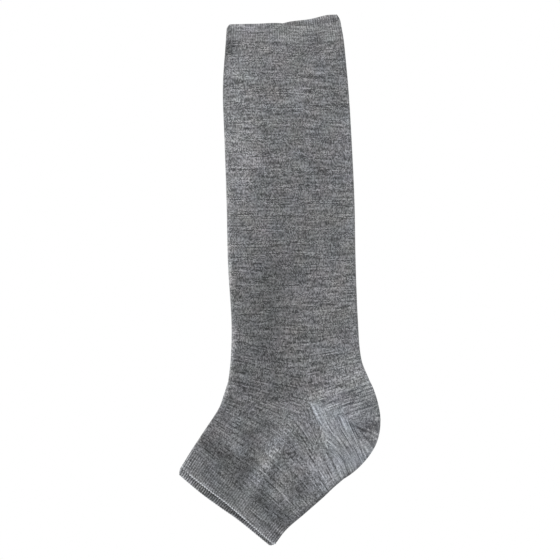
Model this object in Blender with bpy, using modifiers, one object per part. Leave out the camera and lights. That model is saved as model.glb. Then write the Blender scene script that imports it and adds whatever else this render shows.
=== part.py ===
"""A toeless half sock, knitted as one tube with a turned heel, relaxed and laid flat.

Metres, +Z up. The sock lies on its side on the floor: its top rim points to +Y, its heel to +X and its open
toe end down and to the left. Everything is planned round the heel's corner, the point on the side of the ankle
where the leg, the heel pocket and the foot meet, and is then shifted so that the box's bottom centre is at 0, 0, 0.

Each piece is a loft through courses. A course is one knitted round: it runs over the upper layer from the front
fold to the back fold, and returns on the lower layer, which lies flat on the floor.
"""

import math
from collections import namedtuple

import bmesh
import bpy
from mathutils import Vector

# Leg
LEG_LENGTH = 0.2835  # top rim down to the heel's corner
CALF_WIDTH = 0.0952  # flat, at the calf
CUFF_DEPTH = 0.0125  # the turned welt at the top
TOP_SKEW = 0.0080  # how far the lower layer's top rim stands above the upper one's, at the back

# Ankle and heel, measured from the heel's corner
INSTEP_LENGTH = 0.0633
INSTEP_RISE = math.radians(14.7)
HEEL_TOP_LENGTH = 0.0480
HEEL_TOP_RISE = math.radians(20.0)
HEEL_SOLE_LENGTH = 0.0630
HEEL_SOLE_DROP = math.radians(66.0)

# Foot
FOOT_TURN = math.radians(40.0)  # the foot's axis from the leg's line
FOOT_LENGTH = 0.0989  # the heel's corner to the toe rim, along the foot's axis
FOOT_WIDTH = 0.0907  # flat, across the toe band
TOE_BAND_DEPTH = 0.0150
TOE_SKEW = 0.0052  # how far the lower layer's toe rim stands out from under the upper one's, at the front

# Cloth
FOLD_HEIGHT = 0.0056  # the rounded fold along both edges
LOFT = 0.0092  # the upper layer's greatest height
CORNER_ROUND = 0.0022  # how far a rim's corner is rounded off at the folds
LEG_WALL = 0.0012
CUFF_WALL = 0.0016  # two plies of the leg's knit
HEEL_WALL = 0.0014
FOOT_WALL = 0.0012
TOE_BAND_WALL = 0.0016
SEAM_GAP = 0.0004  # left between pieces
HEEL_TIP = 0.0010  # the pocket's blunt tip, from the heel's corner
GORE_DEPTH = 0.0005  # the groove where the heel's short rows meet
RISE_POWER = 2.6  # how steeply the upper layer lifts inside a fold
RIDGE_POWER = 4  # how narrow the soft crease over the foot's knees is

# Mesh density
FRONT_STEPS = 8
BACK_STEPS = 6
FOLD_STEPS = 6
LEG_STEPS = 20
CUFF_STEPS = 2
FOOT_STEPS = 8
TOE_BAND_STEPS = 3
HEEL_STEPS = 8

# The leg's outline, down from the rim (0) to the ankle (1). front and back are distances from the corner's line
# as shares of CALF_WIDTH, sag is how far a course droops as a share of LEG_LENGTH, loft is a share of LOFT.
LegRow = namedtuple("LegRow", "down front back sag loft")
LEG_ROWS = (
    LegRow(down=0.00, front=0.656, back=0.253, sag=0.000, loft=0.94),
    LegRow(down=0.05, front=0.665, back=0.276, sag=0.000, loft=0.93),
    LegRow(down=0.18, front=0.686, back=0.307, sag=0.000, loft=0.96),
    LegRow(down=0.33, front=0.672, back=0.333, sag=0.000, loft=0.97),
    LegRow(down=0.50, front=0.656, back=0.355, sag=0.000, loft=0.95),
    LegRow(down=0.67, front=0.645, back=0.364, sag=0.004, loft=0.94),
    LegRow(down=0.84, front=0.617, back=0.383, sag=0.016, loft=0.96),
    LegRow(down=0.94, front=0.624, back=0.409, sag=0.040, loft=0.98),
)

# The foot's outline, along it from the ankle (0) to the toe rim (1). front and back are distances from the foot's
# axis as shares of FOOT_WIDTH, knee is where a course bends, sag how far back it bends as a share of FOOT_LENGTH,
# ridge how high the soft crease over the knees stands as a share of LOFT.
FootRow = namedtuple("FootRow", "down front back knee sag loft ridge")
FOOT_ROWS = (
    FootRow(down=0.14, front=0.586, back=0.606, knee=0.480, sag=0.200, loft=0.99, ridge=0.05),
    FootRow(down=0.28, front=0.546, back=0.594, knee=0.475, sag=0.130, loft=0.97, ridge=0.07),
    FootRow(down=0.56, front=0.519, back=0.560, knee=0.535, sag=0.045, loft=0.95, ridge=0.06),
    FootRow(down=0.79, front=0.498, back=0.531, knee=0.560, sag=0.010, loft=0.94, ridge=0.02),
    FootRow(down=1.00, front=0.474, back=0.536, knee=0.556, sag=0.000, loft=0.99, ridge=0.00),
)

# The heel's outline, round it from the leg's edge of the pocket (0) to the foot's (1). growth is how far the reach
# has gone from HEEL_TOP_LENGTH to HEEL_SOLE_LENGTH.
HeelRow = namedtuple("HeelRow", "down growth")
HEEL_ROWS = (
    HeelRow(down=0.00, growth=0.00),
    HeelRow(down=0.20, growth=0.18),
    HeelRow(down=0.40, growth=0.47),
    HeelRow(down=0.60, growth=0.73),
    HeelRow(down=0.80, growth=0.86),
    HeelRow(down=1.00, growth=1.00),
)

# Where each layer's rim ends, across the sock from the front fold (0) to the back fold (1), as shares of the skew.
RimRow = namedtuple("RimRow", "down upper lower")
TOP_RIM = (
    RimRow(down=0.00, upper=0.00, lower=-0.10),
    RimRow(down=0.25, upper=0.03, lower=-0.08),
    RimRow(down=0.46, upper=0.08, lower=0.08),
    RimRow(down=0.56, upper=-0.16, lower=0.30),
    RimRow(down=0.75, upper=-0.17, lower=0.54),
    RimRow(down=0.90, upper=0.06, lower=0.88),
    RimRow(down=1.00, upper=0.20, lower=1.00),
)
TOE_RIM = (
    RimRow(down=0.00, upper=0.00, lower=1.00),
    RimRow(down=0.25, upper=0.00, lower=1.00),
    RimRow(down=0.45, upper=0.00, lower=0.78),
    RimRow(down=0.65, upper=0.00, lower=0.50),
    RimRow(down=1.00, upper=0.00, lower=0.40),
)
SKEW_SHARE = 0.13  # how far along the leg or foot, as a share, a rim's skew fades out

FOOT_AXIS = Vector((-math.sin(FOOT_TURN), -math.cos(FOOT_TURN)))
FOOT_ACROSS = Vector((math.cos(FOOT_TURN), -math.sin(FOOT_TURN)))
LEG_AXIS_UP = Vector((0.0, 1.0))
SMOOTH_KNEE = 1 / 3  # the rounding that makes a bent course run smoothly through its knee

PlanLine = namedtuple("PlanLine", "front knee back rounding")


def polar(reach, angle):
    return Vector((math.cos(angle), math.sin(angle))) * reach


INSTEP = polar(INSTEP_LENGTH, math.pi - INSTEP_RISE)
HEEL_TOP = polar(HEEL_TOP_LENGTH, HEEL_TOP_RISE)
HEEL_SOLE = polar(HEEL_SOLE_LENGTH, -HEEL_SOLE_DROP)
CORNER = Vector((0.0, 0.0))


def read_row(rows, column, down):
    """A column's value at `down`, on a smooth curve through the rows."""
    last = len(rows) - 2
    i = next((k for k in range(last) if down < rows[k + 1].down), last)
    here, there = rows[i], rows[i + 1]
    span = there.down - here.down
    value = [getattr(row, column) for row in rows]

    def slope(k):
        low, high = max(k - 1, 0), min(k + 1, len(rows) - 1)
        return (value[high] - value[low]) / (rows[high].down - rows[low].down)

    t = (down - here.down) / span
    ease = t * t * (3 - 2 * t)
    leave = span * slope(i) * t * (1 - t) ** 2
    arrive = span * slope(i + 1) * t * t * (1 - t)
    return value[i] + (value[i + 1] - value[i]) * ease + leave - arrive


def fade(down, reach):
    """1 at 0, easing to 0 at `reach`."""
    t = min(max(down / reach, 0.0), 1.0)
    return 1 - t * t * (3 - 2 * t)


# The ankle row closes the leg's table at the instep and the top of the heel.
ANKLE_KNEE = -INSTEP.x / (HEEL_TOP.x - INSTEP.x)
ANKLE_SAG = INSTEP.lerp(HEEL_TOP, ANKLE_KNEE).y
LEG_TABLE = LEG_ROWS + (
    LegRow(1.0, -INSTEP.x / CALF_WIDTH, HEEL_TOP.x / CALF_WIDTH, ANKLE_SAG / LEG_LENGTH, 1.0),
)


def leg_line(down):
    """The plan of a leg course, from 0 at the top rim to 1 at the ankle."""
    front = Vector((-read_row(LEG_TABLE, "front", down) * CALF_WIDTH, 0.0))
    back = Vector((read_row(LEG_TABLE, "back", down) * CALF_WIDTH, 0.0))
    front.y = LEG_LENGTH + (INSTEP.y - LEG_LENGTH) * down
    back.y = LEG_LENGTH + (HEEL_TOP.y - LEG_LENGTH) * down
    knee = front.lerp(back, ANKLE_KNEE)
    knee.y -= read_row(LEG_TABLE, "sag", down) * LEG_LENGTH
    return PlanLine(front, knee, back, SMOOTH_KNEE * (1 - down**6))


# The foot's table opens on the line from the instep over the corner to the sole.
SOLE_KNEE = INSTEP.length / (INSTEP.length + HEEL_SOLE.length)
SOLE_CHORD = INSTEP.lerp(HEEL_SOLE, SOLE_KNEE)
FOOT_TABLE = (
    FootRow(
        0.0,
        -INSTEP.dot(FOOT_ACROSS) / FOOT_WIDTH,
        HEEL_SOLE.dot(FOOT_ACROSS) / FOOT_WIDTH,
        SOLE_KNEE,
        SOLE_CHORD.dot(FOOT_AXIS) / FOOT_LENGTH,
        1.0,
        0.0,
    ),
) + FOOT_ROWS


def foot_line(down):
    """The plan of a foot course, from 0 at the ankle to 1 at the toe rim."""

    def edge(start, column, side):
        start_along = start.dot(FOOT_AXIS)
        along = start_along + (FOOT_LENGTH - start_along) * down
        across = side * read_row(FOOT_TABLE, column, down) * FOOT_WIDTH
        return FOOT_AXIS * along + FOOT_ACROSS * across

    front = edge(INSTEP, "front", -1)
    back = edge(HEEL_SOLE, "back", 1)
    knee = front.lerp(back, read_row(FOOT_TABLE, "knee", down))
    knee -= FOOT_AXIS * (read_row(FOOT_TABLE, "sag", down) * FOOT_LENGTH)
    chord_miss = (SOLE_CHORD - CORNER) - FOOT_AXIS * SOLE_CHORD.dot(FOOT_AXIS)
    knee -= chord_miss * fade(down, FOOT_ROWS[0].down)
    return PlanLine(front, knee, back, SMOOTH_KNEE * (1 - fade(down, FOOT_ROWS[1].down)))


def rise(inward):
    """How much of its full lift the upper layer has, `inward` as a share of the way from a fold to the knee."""
    return 1 - (1 - inward) ** RISE_POWER


def fold_points(edge, inner, from_top):
    """The half round of a fold: its outermost point is `edge`, and `inner` is the way into the sock.

    Each point comes with its height, how far down the fold it is (0 to 1) and how far out (0 to 1).
    """
    radius = FOLD_HEIGHT / 2
    centre = edge + inner * radius
    points = []
    for k in range(1, FOLD_STEPS):
        lowness = k / FOLD_STEPS
        turn = math.pi * lowness
        spot = centre - inner * (radius * math.sin(turn))
        points.append((spot, radius + radius * math.cos(turn), lowness, math.sin(turn)))
    return points if from_top else points[::-1]


def half_layer(outer, knee, chord, rounding, steps):
    """Plan points from a fold's inner side to the knee: (share of the way in, point)."""
    bend = (chord - knee) * rounding
    shares = [k / steps for k in range(steps + 1)]
    return [(s, outer.lerp(knee, s) + bend * s**3) for s in shares]


def course(line, loft, ridge, lead):
    """The points of one course, once round the tube, from the front fold's top over the upper layer.

    lead(across, lowness, outness) says how far a point moves out along the tube, as a plan vector.
    """
    radius = FOLD_HEIGHT / 2
    to_knee = (line.knee - line.front).normalized()
    from_knee = (line.knee - line.back).normalized()
    front = line.front + to_knee * radius
    back = line.back + from_knee * radius
    whole = (line.knee - line.front).length + (line.back - line.knee).length
    bend_at = (line.knee - line.front).length / whole
    chord = front.lerp(back, bend_at)
    front_half = half_layer(front, line.knee, chord, line.rounding, FRONT_STEPS)
    back_half = half_layer(back, line.knee, chord, line.rounding, BACK_STEPS)
    layer = [(s * bend_at, s, p) for s, p in front_half]
    layer += [(1 - s * (1 - bend_at), s, p) for s, p in reversed(back_half[:-1])]

    points = []
    for across, inward, spot in layer:
        spot = spot + lead(across, 0.0, 0.0)
        height = FOLD_HEIGHT + (loft - FOLD_HEIGHT) * rise(inward) + ridge * inward**RIDGE_POWER
        points.append(Vector((spot.x, spot.y, height)))
    for spot, height, lowness, outness in fold_points(line.back, from_knee, from_top=True):
        spot = spot + lead(1.0, lowness, outness)
        points.append(Vector((spot.x, spot.y, height)))
    for across, _, spot in reversed(layer):
        spot = spot + lead(across, 1.0, 0.0)
        points.append(Vector((spot.x, spot.y, 0.0)))
    for spot, height, lowness, outness in fold_points(line.front, to_knee, from_top=False):
        spot = spot + lead(0.0, lowness, outness)
        points.append(Vector((spot.x, spot.y, height)))
    return points


def rim_lead(rim, skew, direction, strength):
    """How a course near a rim is skewed between its two layers and rounded at its corners."""

    def lead(across, lowness, outness):
        upper = read_row(rim, "upper", across)
        lower = read_row(rim, "lower", across)
        out = skew * (upper + (lower - upper) * lowness)
        return direction * ((out - CORNER_ROUND * outness**2) * strength)

    return lead


def leg_course(down):
    lead = rim_lead(TOP_RIM, TOP_SKEW, LEG_AXIS_UP, fade(down, SKEW_SHARE))
    return course(leg_line(down), read_row(LEG_TABLE, "loft", down) * LOFT, 0.0, lead)


def foot_course(down):
    lead = rim_lead(TOE_RIM, TOE_SKEW, FOOT_AXIS, fade(1 - down, SKEW_SHARE))
    loft = read_row(FOOT_TABLE, "loft", down) * LOFT
    ridge = read_row(FOOT_TABLE, "ridge", down) * LOFT
    return course(foot_line(down), loft, ridge, lead)


def heel_course(turn):
    """One ray of the heel pocket, from its tip over the upper layer, round the fold and back on the lower layer.

    turn runs from 0 along the leg's edge of the pocket to 1 along the foot's edge. The edges keep half the seam
    gap clear all along, so they close in on each other towards the tip.
    """
    growth = read_row(HEEL_ROWS, "growth", turn)
    reach = HEEL_TOP_LENGTH + (HEEL_SOLE_LENGTH - HEEL_TOP_LENGTH) * growth
    radius = FOLD_HEIGHT / 2
    groove = GORE_DEPTH * max(0.0, 1 - abs(turn - 0.5) * HEEL_STEPS)

    def spot(distance):
        spare = math.asin(SEAM_GAP / 2 / distance)
        first, last = HEEL_TOP_RISE - spare, spare - HEEL_SOLE_DROP
        return polar(distance, first + (last - first) * turn)

    layer = []
    for k in range(BACK_STEPS + 1):
        out = k / BACK_STEPS
        distance = HEEL_TIP + (reach - radius - HEEL_TIP) * out
        height = FOLD_HEIGHT + (LOFT - FOLD_HEIGHT) * rise(1 - distance / (reach - radius))
        height -= groove * math.sin(math.pi * out) ** 2
        layer.append((spot(distance), height))
    points = [Vector((p.x, p.y, height)) for p, height in layer]
    edge = spot(reach)
    for p, height, _, _ in fold_points(edge, -edge.normalized(), from_top=True):
        points.append(Vector((p.x, p.y, height)))
    points += [Vector((p.x, p.y, 0.0)) for p, _ in reversed(layer)]
    return points


def pull_back(edge, neighbour):
    """Half the seam gap taken off a piece's end course, and more where the seam slants round a fold.

    The inner side of a fold's wall is the tighter round, so the seam slants more there than on the outer side.
    """
    pulled = []
    for j, (p, q) in enumerate(zip(edge, neighbour)):
        along = (q - p).normalized()
        seam = (edge[(j + 1) % len(edge)] - edge[j - 1]).normalized()
        squareness = 1 - along.dot(seam) ** 2
        pulled.append(p + along * (SEAM_GAP / 2 / squareness))
    return pulled


def run(maker, first, last, steps, seams):
    """Courses from `first` to `last`, pulled back at the ends named in seams: "first", "last" or both."""
    courses = [maker(first + (last - first) * k / steps) for k in range(steps + 1)]
    if "first" in seams:
        courses[0] = pull_back(courses[0], courses[1])
    if "last" in seams:
        courses[-1] = pull_back(courses[-1], courses[-2])
    return courses


def yarn(name, tone, roughness):
    material = bpy.data.materials.new(name)
    material.use_nodes = True
    shader = material.node_tree.nodes["Principled BSDF"]
    shader.inputs["Base Color"].default_value = (tone, tone, tone * 1.03, 1.0)
    shader.inputs["Roughness"].default_value = roughness
    shader.inputs["Metallic"].default_value = 0.0
    return material


def shell(name, courses, closed, wall, material, frame):
    """A knitted piece: a sheet lofted through its courses, thickened inwards by Solidify."""
    grid = bmesh.new()
    rows = [[grid.verts.new(p) for p in points] for points in courses]
    count = len(courses[0])
    for upper, lower in zip(rows, rows[1:]):
        for j in range(count if closed else count - 1):
            k = (j + 1) % count
            grid.faces.new((upper[j], lower[j], lower[k], upper[k]))
    mesh = bpy.data.meshes.new(name)
    grid.to_mesh(mesh)
    grid.free()
    mesh.shade_smooth()
    piece = bpy.data.objects.new(name, mesh)
    piece.data.materials.append(material)
    thick = piece.modifiers.new("wall", "SOLIDIFY")
    thick.thickness = wall
    thick.offset = -1.0
    thick.use_even_offset = True
    thick.use_quality_normals = True
    piece.parent = frame
    parts.objects.link(piece)
    return piece


def clear_scene():
    for thing in list(bpy.data.objects):
        bpy.data.objects.remove(thing, do_unlink=True)


clear_scene()
parts = bpy.data.collections.new("Half_sock")
bpy.context.scene.collection.children.link(parts)

cuff_end = CUFF_DEPTH / (LEG_LENGTH - (INSTEP.y + HEEL_TOP.y) / 2)
band_start = 1 - TOE_BAND_DEPTH / (FOOT_LENGTH - INSTEP.dot(FOOT_AXIS))

cuff_courses = run(leg_course, 0.0, cuff_end, CUFF_STEPS, ("last",))
leg_courses = run(leg_course, cuff_end, 1.0, LEG_STEPS, ("first", "last"))
foot_courses = run(foot_course, 0.0, band_start, FOOT_STEPS, ("first", "last"))
band_courses = run(foot_course, band_start, 1.0, TOE_BAND_STEPS, ("first",))
heel_courses = run(heel_course, 0.0, 1.0, HEEL_STEPS, ())

outline = [p for courses in (cuff_courses, leg_courses, foot_courses, band_courses, heel_courses)
           for points in courses for p in points]
middle_x = (min(p.x for p in outline) + max(p.x for p in outline)) / 2
middle_y = (min(p.y for p in outline) + max(p.y for p in outline)) / 2
sock_frame = bpy.data.objects.new("sock_frame", None)
sock_frame.location = (-middle_x, -middle_y, 0.0)
parts.objects.link(sock_frame)

melange = yarn("melange_knit", 0.17, 0.92)
reinforced = yarn("reinforced_heel_knit", 0.24, 0.90)
ribbed = yarn("ribbed_welt_knit", 0.16, 0.94)

shell("cuff", cuff_courses, True, CUFF_WALL, ribbed, sock_frame)
shell("leg", leg_courses, True, LEG_WALL, melange, sock_frame)
shell("heel", heel_courses, False, HEEL_WALL, reinforced, sock_frame)
shell("foot", foot_courses, True, FOOT_WALL, melange, sock_frame)
shell("toe_band", band_courses, True, TOE_BAND_WALL, ribbed, sock_frame)
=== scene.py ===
# %% [markdown]
# # A knitted half sock, laid flat
#
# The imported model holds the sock's five sections as plain closed walls: cuff, leg, heel, foot and toe
# band. This script gives each its cloth. The sections are laid again course by course on the same lines,
# but finely enough for ribs, a rolled rim and the soft way the cloth lies, and each takes its stitches
# from its own wales and courses. Lengths are metres, +Z is up, the leg runs along +Y and the heel points
# to +X.

import math
from collections import namedtuple

import bmesh
import bpy
import numpy as np
from mathutils import Matrix, Vector, noise


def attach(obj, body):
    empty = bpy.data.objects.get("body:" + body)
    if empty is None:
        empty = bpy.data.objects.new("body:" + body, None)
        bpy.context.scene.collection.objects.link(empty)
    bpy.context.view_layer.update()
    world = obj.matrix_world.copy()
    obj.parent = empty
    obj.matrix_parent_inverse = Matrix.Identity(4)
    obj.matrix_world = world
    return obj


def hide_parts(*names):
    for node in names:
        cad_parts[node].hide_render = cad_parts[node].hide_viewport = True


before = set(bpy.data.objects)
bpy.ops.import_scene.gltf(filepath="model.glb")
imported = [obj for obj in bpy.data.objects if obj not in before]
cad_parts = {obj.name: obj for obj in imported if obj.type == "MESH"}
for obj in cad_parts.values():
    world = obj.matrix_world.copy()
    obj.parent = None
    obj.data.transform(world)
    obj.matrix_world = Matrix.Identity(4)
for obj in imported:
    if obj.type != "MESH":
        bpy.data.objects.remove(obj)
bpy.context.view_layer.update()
print("packed sections:", ", ".join(sorted(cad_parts)))

# %% [markdown]
# ## Sizes
#
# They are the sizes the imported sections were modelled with, and only the two rims follow the real sock up
# to 1.5 mm more closely. Everything is planned round the heel's corner, the point on the side of the
# ankle where leg, heel pocket and foot meet.

# %% Sizes of the sock
LEG_LENGTH = 0.2835
CALF_WIDTH = 0.0952
CUFF_DEPTH = 0.0125
TOP_SKEW = 0.0080

INSTEP_LENGTH = 0.0633
INSTEP_RISE = math.radians(14.7)
HEEL_TOP_LENGTH = 0.0480
HEEL_TOP_RISE = math.radians(20.0)
HEEL_SOLE_LENGTH = 0.0630
HEEL_SOLE_DROP = math.radians(66.0)

FOOT_TURN = math.radians(40.0)
FOOT_LENGTH = 0.0989
FOOT_WIDTH = 0.0907
TOE_BAND_DEPTH = 0.0150
TOE_SKEW = 0.0052

FOLD_HEIGHT = 0.0056
LOFT = 0.0092
CORNER_ROUND = 0.0022
LEG_WALL = 0.0012
CUFF_WALL = 0.0016
HEEL_WALL = 0.0014
FOOT_WALL = 0.0012
TOE_BAND_WALL = 0.0016
# How roundly the upper layer rises from a fold, how sharp its ridge is, how far down a rim's slip is felt,
# and how much the bend in a course is rounded.
RISE_POWER = 2.6
RIDGE_POWER = 4
SKEW_SHARE = 0.13
SMOOTH_KNEE = 1 / 3

# %% [markdown]
# ## Outline tables
#
# Each row is one place down the leg or along the foot. Widths are shares of the calf's or the foot's
# width, and `sag` is how far a course droops or bends back on its way across, as a share of the leg's or
# foot's length. A rim's rows go across it, from the front fold to the back fold, and say how far its
# upper and its lower layer stand out, as shares of the rim's skew.

# %% Outline of leg, foot, heel and rims
LegRow = namedtuple("LegRow", "down front back sag loft")
LEG_ROWS = (
    LegRow(down=0.00, front=0.656, back=0.246, sag=0.000, loft=0.94),
    LegRow(down=0.05, front=0.665, back=0.271, sag=0.000, loft=0.93),
    LegRow(down=0.18, front=0.686, back=0.307, sag=0.000, loft=0.96),
    LegRow(down=0.33, front=0.672, back=0.333, sag=0.000, loft=0.97),
    LegRow(down=0.50, front=0.656, back=0.355, sag=0.000, loft=0.95),
    LegRow(down=0.67, front=0.645, back=0.364, sag=0.004, loft=0.94),
    LegRow(down=0.84, front=0.617, back=0.383, sag=0.016, loft=0.96),
    LegRow(down=0.94, front=0.624, back=0.409, sag=0.040, loft=0.98),
)

FootRow = namedtuple("FootRow", "down front back knee sag loft ridge")
FOOT_ROWS = (
    FootRow(down=0.14, front=0.586, back=0.606, knee=0.480, sag=0.200, loft=0.99, ridge=0.05),
    FootRow(down=0.28, front=0.546, back=0.594, knee=0.475, sag=0.130, loft=0.97, ridge=0.07),
    FootRow(down=0.56, front=0.519, back=0.560, knee=0.535, sag=0.045, loft=0.95, ridge=0.06),
    FootRow(down=0.79, front=0.498, back=0.531, knee=0.560, sag=0.010, loft=0.94, ridge=0.02),
    FootRow(down=1.00, front=0.474, back=0.536, knee=0.556, sag=0.000, loft=0.99, ridge=0.00),
)

HeelRow = namedtuple("HeelRow", "down growth")
HEEL_ROWS = (
    HeelRow(down=0.00, growth=0.00),
    HeelRow(down=0.20, growth=0.18),
    HeelRow(down=0.40, growth=0.47),
    HeelRow(down=0.60, growth=0.73),
    HeelRow(down=0.80, growth=0.86),
    HeelRow(down=1.00, growth=1.00),
)

RimRow = namedtuple("RimRow", "down upper lower")
TOP_RIM = (
    RimRow(down=0.00, upper=0.00, lower=-0.10),
    RimRow(down=0.25, upper=0.03, lower=-0.08),
    RimRow(down=0.46, upper=0.08, lower=0.08),
    RimRow(down=0.56, upper=-0.16, lower=0.30),
    RimRow(down=0.75, upper=-0.17, lower=0.54),
    RimRow(down=0.90, upper=0.06, lower=0.90),
    RimRow(down=1.00, upper=0.20, lower=0.96),
)
TOE_RIM = (
    RimRow(down=0.00, upper=0.00, lower=1.00),
    RimRow(down=0.25, upper=-0.11, lower=1.00),
    RimRow(down=0.45, upper=-0.29, lower=0.78),
    RimRow(down=0.65, upper=-0.28, lower=0.50),
    RimRow(down=1.00, upper=-0.12, lower=0.40),
)

# %% [markdown]
# A column of a table is read on a smooth curve through its rows.

# %% Reading the tables
def read_row(rows, column, down):
    last = len(rows) - 2
    i = next((k for k in range(last) if down < rows[k + 1].down), last)
    value = [getattr(row, column) for row in rows]
    span = rows[i + 1].down - rows[i].down

    def slope(k):
        low, high = max(k - 1, 0), min(k + 1, len(rows) - 1)
        return (value[high] - value[low]) / (rows[high].down - rows[low].down)

    t = (down - rows[i].down) / span
    ease = t * t * (3 - 2 * t)
    leave = span * slope(i) * t * (1 - t) ** 2
    arrive = span * slope(i + 1) * t * t * (1 - t)
    return value[i] + (value[i + 1] - value[i]) * ease + leave - arrive


def fade(down, reach):
    """1 at 0, easing to 0 at `reach`."""
    t = np.clip(down / reach, 0.0, 1.0)
    return 1 - t * t * (3 - 2 * t)


# %% [markdown]
# ## The lines the courses lie on
#
# A course is one knitted round. Seen from above it runs from the front fold over a knee to the back fold.
# In the leg it is nearly straight. At the ankle it bends sharply round the heel's corner, and down the
# foot it straightens until it is square to the foot at the toe rim.

# %% Plan of the leg's and the foot's courses
PlanLine = namedtuple("PlanLine", "front knee back rounding")
FOOT_AXIS = np.array([-math.sin(FOOT_TURN), -math.cos(FOOT_TURN)])
FOOT_ACROSS = np.array([math.cos(FOOT_TURN), -math.sin(FOOT_TURN)])
LEG_AXIS_UP = np.array([0.0, 1.0])


def polar(length, angle):
    return np.array([math.cos(angle), math.sin(angle)]) * length


def between(a, b, share):
    return a + (b - a) * share


INSTEP = polar(INSTEP_LENGTH, math.pi - INSTEP_RISE)
HEEL_TOP = polar(HEEL_TOP_LENGTH, HEEL_TOP_RISE)
HEEL_SOLE = polar(HEEL_SOLE_LENGTH, -HEEL_SOLE_DROP)

ANKLE_KNEE = -INSTEP[0] / (HEEL_TOP[0] - INSTEP[0])
ANKLE_SAG = between(INSTEP, HEEL_TOP, ANKLE_KNEE)[1] / LEG_LENGTH
LEG_TABLE = LEG_ROWS + (LegRow(1.0, -INSTEP[0] / CALF_WIDTH, HEEL_TOP[0] / CALF_WIDTH, ANKLE_SAG, 1.0),)

SOLE_KNEE = INSTEP_LENGTH / (INSTEP_LENGTH + HEEL_SOLE_LENGTH)
SOLE_CHORD = between(INSTEP, HEEL_SOLE, SOLE_KNEE)
FOOT_TABLE = (
    FootRow(
        0.0,
        -(INSTEP @ FOOT_ACROSS) / FOOT_WIDTH,
        (HEEL_SOLE @ FOOT_ACROSS) / FOOT_WIDTH,
        SOLE_KNEE,
        (SOLE_CHORD @ FOOT_AXIS) / FOOT_LENGTH,
        1.0,
        0.0,
    ),
) + FOOT_ROWS


def leg_line(down):
    front_up, back_up = (between(LEG_LENGTH, ankle[1], down) for ankle in (INSTEP, HEEL_TOP))
    front = np.array([-read_row(LEG_TABLE, "front", down) * CALF_WIDTH, front_up])
    back = np.array([read_row(LEG_TABLE, "back", down) * CALF_WIDTH, back_up])
    knee = between(front, back, ANKLE_KNEE)
    knee[1] -= read_row(LEG_TABLE, "sag", down) * LEG_LENGTH
    return PlanLine(front, knee, back, SMOOTH_KNEE * (1 - down**6))


def foot_line(down):
    def edge(start, column, side):
        along = between(start @ FOOT_AXIS, FOOT_LENGTH, down)
        return FOOT_AXIS * along + FOOT_ACROSS * (side * read_row(FOOT_TABLE, column, down) * FOOT_WIDTH)

    front = edge(INSTEP, "front", -1)
    back = edge(HEEL_SOLE, "back", 1)
    knee = between(front, back, read_row(FOOT_TABLE, "knee", down))
    knee = knee - FOOT_AXIS * (read_row(FOOT_TABLE, "sag", down) * FOOT_LENGTH)
    chord_miss = SOLE_CHORD - FOOT_AXIS * (SOLE_CHORD @ FOOT_AXIS)
    knee = knee - chord_miss * fade(down, FOOT_ROWS[0].down)
    return PlanLine(front, knee, back, SMOOTH_KNEE * (1 - fade(down, FOOT_ROWS[1].down)))


print("instep, heel top, heel sole (mm):", *(np.round(p * 1000, 1) for p in (INSTEP, HEEL_TOP, HEEL_SOLE)))

# %% [markdown]
# ## How the cloth lies
#
# The upper layer isn't quite even: it dips down the middle of the leg, stands in a soft ridge over the
# bends in the foot's courses, and creases a little round the heel. Each row of the table is one soft
# swell, at a place measured from the heel's corner in shares of the calf's width. `lift` is a share of
# the fold's height, and `tone` is painted light and shade: the cloth is painted paler where it is lit,
# and darker where a hollow, a crease or a bend lies in shade. A painted sheen is the pale edge of a fold,
# where the fibres that stand off the cloth catch the light. The inner rows paint shade and light on the
# inner face, which shows inside the two rims. It could all be sculpted, but a table of soft bumps is easy
# to read and to change.

# %% Swells and hollows
Swell = namedtuple("Swell", "name right up turn long wide lift tone")
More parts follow.
